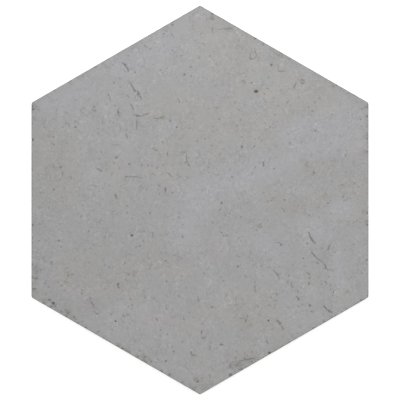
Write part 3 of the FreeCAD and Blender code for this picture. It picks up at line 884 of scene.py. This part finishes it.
def refine(tile, marks, relief):
    """Halves the long edges near the marks again and again, down to the finest cell."""
    bpy.ops.object.mode_set(mode="EDIT")
    cell = relief.grid
    while cell > relief.finest * CELL_SLACK:
        split_faces(tile)
        bpy.ops.mesh.select_all(action="DESELECT")
        cage = bmesh.from_edit_mesh(tile.data)
        edges = long_edges(cage, cell * LONG_EDGE)
        if cell > RIM_CELL:
            for edge in edges:
                edge.select_set(to_edge(middle_of(edge)) < RIM_REACH)
        tree = tree_of([middle_of(edge) for edge in edges])
        for mark in marks:
            if cell > max(relief.finest, mark.cell):
                select_near(mark, edges, tree, cell)
        bmesh.update_edit_mesh(tile.data)
        bpy.ops.mesh.subdivide(number_cuts=1)
        cell = cell / 2
    bpy.context.tool_settings.mesh_select_mode = (False, False, True)
    select_faces(tile, above_slope)
    bpy.ops.mesh.dissolve_degenerate(threshold=THINNEST)
    bpy.ops.object.mode_set(mode="OBJECT")


def patch_field(tree, count, patches):
    """How much each point of the mesh belongs to the patches, less what the holes in them take away."""
    field = [0.0] * count
    holes = [0.0] * count
    for radius, strength, line in patches:
        reach = 2 * radius * PIXEL
        layer = field if strength > 0 else holes
        for point in along_line([on_tile(place) for place in line], reach / 4):
            for _, index, away in tree.find_range(point, reach):
                weight = abs(strength) * (1 - (away / reach) ** 2) ** 2
                layer[index] = max(layer[index], weight)
    return [value - hole for value, hole in zip(field, holes)]


def longest_edges(mesh):
    """Length of the longest edge at each point of the mesh."""
    longest = [0.0] * len(mesh.vertices)
    for edge in mesh.edges:
        first, second = edge.vertices
        length = (mesh.vertices[first].co - mesh.vertices[second].co).length
        longest[first] = max(longest[first], length)
        longest[second] = max(longest[second], length)
    return longest


def paint_smudge(mark, tree, layers):
    """Soils the points of the mesh under a smudge."""
    soil_and_rim_shade = layers[SOIL_AND_RIM_SHADE]
    rust = layers[RUST]
    for place, index, away in tree.find_range(mark.points[0], mark.radius * SMUDGE_REACH):
        ragged = away / mark.radius + SMUDGE_RAGGED * noise.noise(place * SMUDGE_SCALE)
        fall = max(0.0, 1 - max(0.0, ragged) ** 2)
        soil_and_rim_shade[index] = max(soil_and_rim_shade[index], mark.stain * fall)
        rust[index] = max(rust[index], mark.rust * fall)


def paint_line(mark, tree, layers, longest, limit):
    """Deepens and stains the points of the mesh along a mark, but none with an edge past the limit."""
    depth = layers[WEAR]
    stain = layers[STAIN]
    rust = layers[RUST]
    line = along_line(mark.points, LINE_STEP)
    for step, point in enumerate(line):
        taper = 1.0
        if len(line) > 1:
            taper = END_WIDTH + (1 - END_WIDTH) * math.sin(math.pi * step / (len(line) - 1))
        radius = mark.radius * taper * (1 + WIDTH_SWAY * noise.noise(point * WIDTH_SCALE))
        patchy = 1 + mark.patchy * noise.noise(point * PATCHY_SCALE)
        strayed = point + noise.noise_vector(point * STRAY_SCALE) * STRAY
        for place, index, away in tree.find_range(strayed, radius * MARK_REACH):
            ragged = away / radius + mark.ragged * noise.noise(place * RAGGED_SCALE)
            if ragged >= 1 or longest[index] > limit:
                continue
            fall = 1 - max(0.0, ragged) ** 2
            depth[index] = max(depth[index], mark.depth * fall)
            stain[index] = max(stain[index], mark.stain * patchy * min(1.0, STAIN_FILL * fall))
            rust[index] = max(rust[index], mark.rust * fall)


def shade_rim(mesh, soil_and_rim_shade):
    """Paints shade on the arris and the face beside it, unevenly and less and less inwards, into the layer
    that also holds the smudges' soil.
    """
    for vertex in mesh.vertices:
        place = vertex.co
        inside = to_edge(place)
        if place.z > FACE_Z - RIM_DROP and inside < RIM_REACH * 2:
            sway = 1.0
            for strength, scale in (RIM_BROAD, RIM_FINE):
                sway += strength * noise.noise(place * scale)
            # Painted shade, darkest at the edge and swayed by two noises
            shade = RIM_SHADE * math.exp(-inside / RIM_FADE) * sway
            soil_and_rim_shade[vertex.index] = max(soil_and_rim_shade[vertex.index], shade)


def paint_marks(tile, marks, relief):
    """Works out how deep and how stained each point of the mesh is, with the painted shade along the rim,
    and stores it on the piece.
    """
    noise.seed_set(relief.seed)
    mesh = tile.data
    tree = tree_of([vertex.co for vertex in mesh.vertices])
    longest = longest_edges(mesh)
    count = len(mesh.vertices)
    layers = {name: [0.0] * count for name in (WEAR, STAIN, SOIL_AND_RIM_SHADE, RUST)}
    for mark in marks:
        if mark.smudge:
            paint_smudge(mark, tree, layers)
        else:
            paint_line(mark, tree, layers, longest, LEAK_CELLS * max(relief.finest, mark.cell))
    # Painted shade along the arris, in the soil layer
    shade_rim(mesh, layers[SOIL_AND_RIM_SHADE])
    for name, patches in ((WARM, WARM_PATCHES), (COOL, COOL_PATCHES), (ROSE, ROSE_PATCHES),
                          (TONE, TONE_PATCHES)):
        layers[name] = patch_field(tree, count, patches)
    group = tile.vertex_groups.new(name=WEAR)
    for index, value in enumerate(layers.pop(WEAR)):
        if value > 0:
            group.add([index], min(1.0, value), "REPLACE")
    for name, values in layers.items():
        layer = mesh.attributes.new(name=name, type="FLOAT", domain="POINT")
        layer.data.foreach_set("value", values)


def sink_marks(tile, relief):
    """Presses the marks into the face with a Displace modifier."""
    only_active(tile)
    bpy.ops.object.modifier_add(type="DISPLACE")
    press = tile.modifiers[-1]
    press.direction = "NORMAL"
    press.mid_level = 0.0
    press.strength = -relief.depth
    press.vertex_group = WEAR
    bpy.ops.object.modifier_apply(modifier=press.name)
    tile.vertex_groups.clear()


def new_group(name, inputs, outputs):
    """An empty node group with the named sockets, and its input and output nodes."""
    group = bpy.data.node_groups.new(name, "ShaderNodeTree")
    for label, kind in inputs:
        group.interface.new_socket(label, in_out="INPUT", socket_type="NodeSocket" + kind)
    for label, kind in outputs:
        group.interface.new_socket(label, in_out="OUTPUT", socket_type="NodeSocket" + kind)
    return group, group.nodes.new("NodeGroupInput"), group.nodes.new("NodeGroupOutput")


def noise_node(tree, vector, scale, detail, rough, seed=0.0, warp=0.0):
    """A noise texture on the given coordinates."""
    texture = tree.nodes.new("ShaderNodeTexNoise")
    texture.noise_dimensions = "4D"
    texture.inputs["W"].default_value = seed
    texture.inputs["Scale"].default_value = scale
    texture.inputs["Detail"].default_value = detail
    texture.inputs["Roughness"].default_value = rough
    texture.inputs["Distortion"].default_value = warp
    tree.links.new(vector, texture.inputs["Vector"])
    return texture.outputs["Fac"]


def range_node(tree, value, low, high, first=0.0, last=1.0, kind="LINEAR"):
    """Turns the range from low to high into the range from first to last, and clamps it."""
    node = tree.nodes.new("ShaderNodeMapRange")
    node.interpolation_type = kind
    node.inputs["From Min"].default_value = low
    node.inputs["From Max"].default_value = high
    node.inputs["To Min"].default_value = first
    node.inputs["To Max"].default_value = last
    tree.links.new(value, node.inputs["Value"])
    return node.outputs[0]


def fill_socket(tree, socket, value):
    """Links a socket to another, or sets its number or its colour."""
    if isinstance(value, bpy.types.NodeSocket):
        tree.links.new(value, socket)
    elif isinstance(value, (int, float)):
        socket.default_value = value
    else:
        socket.default_value = (*value, 1)


def math_node(tree, operation, first, second=0.0, third=0.0, clamp=False):
    """A math node whose inputs are sockets or numbers."""
    node = tree.nodes.new("ShaderNodeMath")
    node.operation = operation
    node.use_clamp = clamp
    for socket, value in zip(node.inputs, (first, second, third)):
        fill_socket(tree, socket, value)
    return node.outputs[0]


def mix_node(tree, factor, first, second):
    """A colour mix of two sockets or colours by a factor."""
    node = tree.nodes.new("ShaderNodeMix")
    node.data_type = "RGBA"
    # The sockets of a mix serve every type of data: its colours are those at 6 and 7, and come out at 2
    for index, value in ((0, factor), (6, first), (7, second)):
        fill_socket(tree, node.inputs[index], value)
    return node.outputs[2]


def shade_node(tree, color, factor):
    """The colour times a factor."""
    node = tree.nodes.new("ShaderNodeVectorMath")
    node.operation = "SCALE"
    tree.links.new(color, node.inputs[0])
    tree.links.new(factor, node.inputs["Scale"])
    return node.outputs[0]


def patch_group():
    """Lavender, beige and rose patches with ragged edges, where the piece's own values ask for them."""
    group, given, result = new_group(
        "stone patches",
        (("Vector", "Vector"), ("Beige share", "Float"), ("Lavender share", "Float"),
         ("Rose share", "Float"), ("Tone", "Float"), ("Stone", "Color"), ("Lavender", "Color"),
         ("Beige", "Color"), ("Rose", "Color")),
        (("Color", "Color"),))
    color = given.outputs["Stone"]
    for seed, name in enumerate(("Beige", "Lavender", "Rose")):
        ragged = noise_node(group, given.outputs["Vector"], scale=130, detail=5, rough=0.72, seed=seed + 1)
        sway = math_node(group, "MULTIPLY_ADD", ragged, PATCH_SWAY, -PATCH_SWAY * NOISE_MIDDLE)
        total = math_node(group, "ADD", given.outputs[name + " share"], sway)
        share = range_node(group, total, low=0.4, high=0.8)
        color = mix_node(group, share, color, given.outputs[name])
    ragged = noise_node(group, given.outputs["Vector"], scale=150, detail=4, rough=0.65, seed=5)
    total = math_node(group, "ADD", math_node(group, "SUBTRACT", ragged, NOISE_MIDDLE),
                      given.outputs["Tone"])
    tone = range_node(group, total, low=-TONE_SPAN, high=TONE_SPAN, first=1 - TONE_REACH,
                      last=1 + TONE_REACH, kind="SMOOTHSTEP")
    group.links.new(shade_node(group, color, tone), result.inputs["Color"])
    return group


def grain_group():
    """Grain of three sizes, pale and dark flecks and short hairlines over a colour, with its height."""
    group, given, result = new_group(
        "fired grain",
        (("Vector", "Vector"), ("Color", "Color"), ("Amount", "Float"), ("Flecks", "Float")),
        (("Color", "Color"), ("Height", "Float"), ("Roughness", "Float")))
    vector = given.outputs["Vector"]
    broad = noise_node(group, vector, scale=95, detail=3, rough=0.55)
    middle = noise_node(group, vector, scale=330, detail=3, rough=0.6, seed=2)
    fine = noise_node(group, vector, scale=1300, detail=2, rough=0.6, seed=4)
    total = math_node(group, "MULTIPLY", broad, BROAD_GRAIN)
    total = math_node(group, "MULTIPLY_ADD", middle, MIDDLE_GRAIN, total)
    total = math_node(group, "MULTIPLY_ADD", fine, FINE_GRAIN, total)
    centred = math_node(group, "SUBTRACT", total, (BROAD_GRAIN + MIDDLE_GRAIN + FINE_GRAIN) * NOISE_MIDDLE)
    busy = noise_node(group, vector, scale=90, detail=3, rough=0.6, seed=16)
    busy = range_node(group, busy, low=0.36, high=0.64, first=0.45, last=1.55)
    amount = math_node(group, "MULTIPLY", given.outputs["Amount"], busy)
    factor = math_node(group, "MULTIPLY_ADD", centred, amount, 1.0)
    pale = noise_node(group, vector, scale=620, detail=1, rough=0.5, seed=6, warp=0.8)
    pale = range_node(group, pale, low=0.57, high=0.72, last=0.125)
    dark = noise_node(group, vector, scale=560, detail=1, rough=0.5, seed=8, warp=1.2)
    dark = range_node(group, dark, low=0.43, high=0.25, last=-0.13)
    line = noise_node(group, vector, scale=200, detail=1, rough=0.5, seed=10, warp=0.7)
    line = math_node(group, "ABSOLUTE", math_node(group, "SUBTRACT", line, NOISE_MIDDLE))
    line = range_node(group, line, low=0.022, high=0.004, last=-0.09)
    broken = noise_node(group, vector, scale=260, detail=1, rough=0.5, seed=12)
    broken = range_node(group, broken, low=0.56, high=0.64)
    flecks = math_node(group, "MULTIPLY_ADD", line, broken, math_node(group, "ADD", pale, dark))
    shown = math_node(group, "MULTIPLY", given.outputs["Flecks"], busy)
    factor = math_node(group, "MULTIPLY_ADD", flecks, shown, factor)
    group.links.new(shade_node(group, given.outputs["Color"], factor), result.inputs["Color"])
    group.links.new(math_node(group, "ADD", middle, fine), result.inputs["Height"])
    rough = math_node(group, "MULTIPLY_ADD", middle, ROUGHNESS_SWAY, LEAST_ROUGHNESS)
    group.links.new(rough, result.inputs["Roughness"])
    return group


def stain_group():
    """Dark marks, speckled soil and rust, and the painted shade along the rim that comes in with the soil,
    over a colour.
    """
    group, given, result = new_group(
        "stained marks",
        (("Vector", "Vector"), ("Color", "Color"), ("Stain", "Float"), ("Soil", "Float"),
         ("Rust", "Float"), ("Dirt", "Color"), ("Brown", "Color")),
        (("Color", "Color"),))
    grains = noise_node(group, given.outputs["Vector"], scale=900, detail=2, rough=0.6, seed=14)
    grains = range_node(group, grains, low=0.38, high=0.62, first=0.1, last=2.0)
    color = mix_node(group, math_node(group, "MULTIPLY", given.outputs["Rust"], grains),
                     given.outputs["Color"], given.outputs["Brown"])
    # Smudges' soil and painted shade along the rim, speckled, towards the marks' dark colour
    color = mix_node(group, math_node(group, "MULTIPLY", given.outputs["Soil"], grains),
                     color, given.outputs["Dirt"])
    color = mix_node(group, given.outputs["Stain"], color, given.outputs["Dirt"])
    group.links.new(color, result.inputs["Color"])
    return group


def wash_group():
    """Pale powder from the kiln on whatever lies in the plane of the back."""
    group, given, result = new_group(
        "kiln wash",
        (("Vector", "Vector"), ("Color", "Color"), ("Wash", "Color")),
        (("Color", "Color"),))
    split = group.nodes.new("ShaderNodeSeparateXYZ")
    group.links.new(given.outputs["Vector"], split.inputs[0])
    plane = range_node(group, split.outputs["Z"], low=0.0004, high=0.00005)
    cover = noise_node(group, given.outputs["Vector"], scale=60, detail=5, rough=0.7)
    cover = range_node(group, cover, low=0.38, high=0.62, last=0.8)
    mask = math_node(group, "MULTIPLY", plane, cover)
    group.links.new(mix_node(group, mask, given.outputs["Color"], given.outputs["Wash"]),
                    result.inputs["Color"])
    return group


def place_group(tree, group, **values):
    """Places a group in a material and sets or links its inputs."""
    node = tree.nodes.new("ShaderNodeGroup")
    node.node_tree = group
    for label, value in values.items():
        fill_socket(tree, node.inputs[label], value)
    return node


def new_material(name):
    """A material with nothing but its Principled shader."""
    material = bpy.data.materials.new(name)
    material.use_nodes = True
    tree = material.node_tree
    return material, tree, tree.nodes["Principled BSDF"]


def stored(tree, name):
    """Reads a value that is stored on the piece."""
    node = tree.nodes.new("ShaderNodeAttribute")
    node.attribute_name = name
    return node.outputs["Fac"]


def finish_surface(tree, shader, color, grain, height):
    """Links the colour, the roughness and the grain's bump to the shader."""
    bump = tree.nodes.new("ShaderNodeBump")
    bump.inputs["Strength"].default_value = BUMP
    bump.inputs["Distance"].default_value = height
    tree.links.new(grain.outputs["Height"], bump.inputs["Height"])
    tree.links.new(bump.outputs["Normal"], shader.inputs["Normal"])
    tree.links.new(grain.outputs["Roughness"], shader.inputs["Roughness"])
    tree.links.new(color, shader.inputs["Base Color"])
    shader.inputs["Specular IOR Level"].default_value = SPECULAR


def stain_over(tree, groups, finish, place, grain):
    """Places the marks' stains, and the painted shade along the rim, over a grained colour."""
    node = place_group(tree, groups["stains"], Vector=place, Color=grain.outputs["Color"],
                       Stain=stored(tree, STAIN), Soil=stored(tree, SOIL_AND_RIM_SHADE), Rust=stored(tree, RUST),
                       Dirt=finish.dirt_and_shade, Brown=finish.rust)
    return node.outputs["Color"]


def stone_material(finish, groups):
    """Matt stone look of the face and the arris."""
    material, tree, shader = new_material("stone look face")
    place = tree.nodes.new("ShaderNodeTexCoord").outputs["Object"]
    patches = place_group(tree, groups["patches"], Vector=place, Tone=stored(tree, TONE),
                          Stone=finish.stone, Lavender=finish.cool, Beige=finish.warm, Rose=finish.rose)
    for name, share in ((WARM, "Beige share"), (COOL, "Lavender share"), (ROSE, "Rose share")):
        tree.links.new(stored(tree, name), patches.inputs[share])
    grain = place_group(tree, groups["grain"], Vector=place, Color=patches.outputs["Color"],
                        Amount=0.83, Flecks=1.0)
    finish_surface(tree, shader, stain_over(tree, groups, finish, place, grain), grain, FACE_BUMP)
    return material


def body_material(finish, groups):
    """Bare fired body of the edge and the back."""
    material, tree, shader = new_material("bare porcelain")
    place = tree.nodes.new("ShaderNodeTexCoord").outputs["Object"]
    wash = place_group(tree, groups["wash"], Vector=place, Color=finish.body, Wash=finish.wash)
    grain = place_group(tree, groups["grain"], Vector=place, Color=wash.outputs["Color"],
                        Amount=0.5, Flecks=0.4)
    finish_surface(tree, shader, stain_over(tree, groups, finish, place, grain), grain, BODY_BUMP)
    return material


class FLOORTILE_OT_tile(bpy.types.Operator):
    """Makes the tile with its marked face and its keyed back"""
    bl_idname = "floortile.tile"
    bl_label = "Tile"

    def execute(self, context):
        relief = context.scene.tile_relief
        finish = context.scene.tile_finish
        tile = copy_of_solid()
        round_keys(tile, relief.key_rounding)
        cut_grid(tile, relief)
        marks = all_marks(relief)
        refine(tile, marks, relief)
        paint_marks(tile, marks, relief)
        sink_marks(tile, relief)
        groups = {"patches": patch_group(), "grain": grain_group(), "stains": stain_group(),
                  "wash": wash_group()}
        tile.data.materials.clear()
        tile.data.materials.append(stone_material(finish, groups))
        tile.data.materials.append(body_material(finish, groups))
        for face in tile.data.polygons:
            face.material_index = 0 if face.normal.z > FACING_UP else 1
        bpy.ops.object.shade_smooth_by_angle(angle=SMOOTH_ANGLE)
        if not tile.data.polygons:
            raise RuntimeError("the tile has no faces")
        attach(tile, BODY)
        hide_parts(NODE)
        return {"FINISHED"}


def seen_rays(tree):
    """1 for rays that come from the camera or by way of a mirror or glass, else 0."""
    path = tree.nodes.new("ShaderNodeLightPath")
    seen = math_node(tree, "ADD", path.outputs["Is Camera Ray"], path.outputs["Is Glossy Ray"])
    return math_node(tree, "ADD", seen, path.outputs["Is Transmission Ray"], clamp=True)


def lay_floor(stage):
    """A pale floor under the tile."""
    bpy.ops.object.select_all(action="DESELECT")
    bpy.ops.mesh.primitive_plane_add(size=stage.floor_side, location=(0, 0, -FLOOR_GAP))
    floor = bpy.context.active_object
    floor.name = "floor"
    material, tree, shader = new_material("pale floor")
    shader.inputs["Base Color"].default_value = (*stage.floor_color, 1)
    shader.inputs["Roughness"].default_value = FLOOR_ROUGHNESS
    shader.inputs["Specular IOR Level"].default_value = 0.0
    shader.inputs["Emission Color"].default_value = (1, 1, 1, 1)
    glow = math_node(tree, "MULTIPLY", seen_rays(tree), stage.floor_glow)
    tree.links.new(glow, shader.inputs["Emission Strength"])
    floor.data.materials.append(material)


def light_scene(stage):
    """Light from all round, from above and from a lamp beyond the top right of the tile."""
    world = bpy.data.worlds.new("studio")
    world.use_nodes = True
    tree = world.node_tree
    background = tree.nodes["Background"]
    background.inputs["Color"].default_value = (1, 1, 1, 1)
    extra = math_node(tree, "MULTIPLY", seen_rays(tree), 1 - stage.sky)
    tree.links.new(math_node(tree, "ADD", extra, stage.sky), background.inputs["Strength"])
    bpy.context.scene.world = world
    bpy.ops.object.light_add(type="SUN", location=(0, 0, 2), rotation=(0, 0, 0))
    sun = bpy.context.active_object
    sun.name = "overhead light"
    sun.data.energy = stage.overhead
    sun.data.angle = SUN_SPREAD
    bpy.ops.object.light_add(type="AREA", location=stage.lamp_place)
    lamp = bpy.context.active_object
    lamp.name = "lamp"
    lamp.data.energy = stage.lamp_power
    lamp.data.size = stage.lamp_side
    lamp.rotation_euler = (-lamp.location).to_track_quat("-Z", "Y").to_euler()
    lamp.visible_camera = False


def set_camera(stage):
    """A camera straight above the tile, with the photo's frame at the foot of the arris."""
    width = PHOTO_SIDE * PIXEL
    height = FACE_Z - ARRIS + width * stage.lens / stage.sensor
    bpy.ops.object.camera_add(location=(0, 0, height), rotation=(0, 0, 0))
    camera = bpy.context.active_object
    camera.data.lens = stage.lens
    camera.data.sensor_width = stage.sensor
    camera.data.clip_start = NEAREST
    bpy.context.scene.camera = camera


class FLOORTILE_OT_stage(bpy.types.Operator):
    """Lays the floor and sets the light and the camera"""
    bl_idname = "floortile.stage"
    bl_label = "Stage"

    def execute(self, context):
        stage = context.scene.tile_stage
        lay_floor(stage)
        light_scene(stage)
        set_camera(stage)
        context.scene.view_settings.view_transform = "Standard"
        return {"FINISHED"}


class FLOORTILE_PT_parts(bpy.types.Panel):
    """Lists the parts of the scene"""
    bl_idname = "FLOORTILE_PT_parts"
    bl_label = "Floor tile"
    bl_space_type = "VIEW_3D"
    bl_region_type = "UI"
    bl_category = "Floor tile"

    def draw(self, context):
        layout = self.layout
        for operator, values in ((FLOORTILE_OT_tile, ("tile_relief", "tile_finish")),
                                 (FLOORTILE_OT_stage, ("tile_stage",))):
            layout.operator(operator.bl_idname)
            for name in values:
                settings = getattr(context.scene, name)
                for prop in settings.bl_rna.properties:
                    if prop.identifier not in ("rna_type", "name"):
                        layout.prop(settings, prop.identifier)


CLASSES = (TileRelief, TileFinish, TileStage, FLOORTILE_OT_tile, FLOORTILE_OT_stage,
           FLOORTILE_PT_parts)


def register():
    """Registers the classes and adds their settings to the scene."""
    for item in CLASSES:
        bpy.utils.register_class(item)
    bpy.types.Scene.tile_relief = bpy.props.PointerProperty(type=TileRelief)
    bpy.types.Scene.tile_finish = bpy.props.PointerProperty(type=TileFinish)
    bpy.types.Scene.tile_stage = bpy.props.PointerProperty(type=TileStage)


def unregister():
    """Takes the settings and the classes away again."""
    del bpy.types.Scene.tile_relief
    del bpy.types.Scene.tile_finish
    del bpy.types.Scene.tile_stage
    for item in reversed(CLASSES):
        bpy.utils.unregister_class(item)


def main():
    """Makes the whole scene."""
    register()
    bpy.ops.floortile.tile()
    bpy.ops.floortile.stage()


if __name__ == "__main__":
    main()
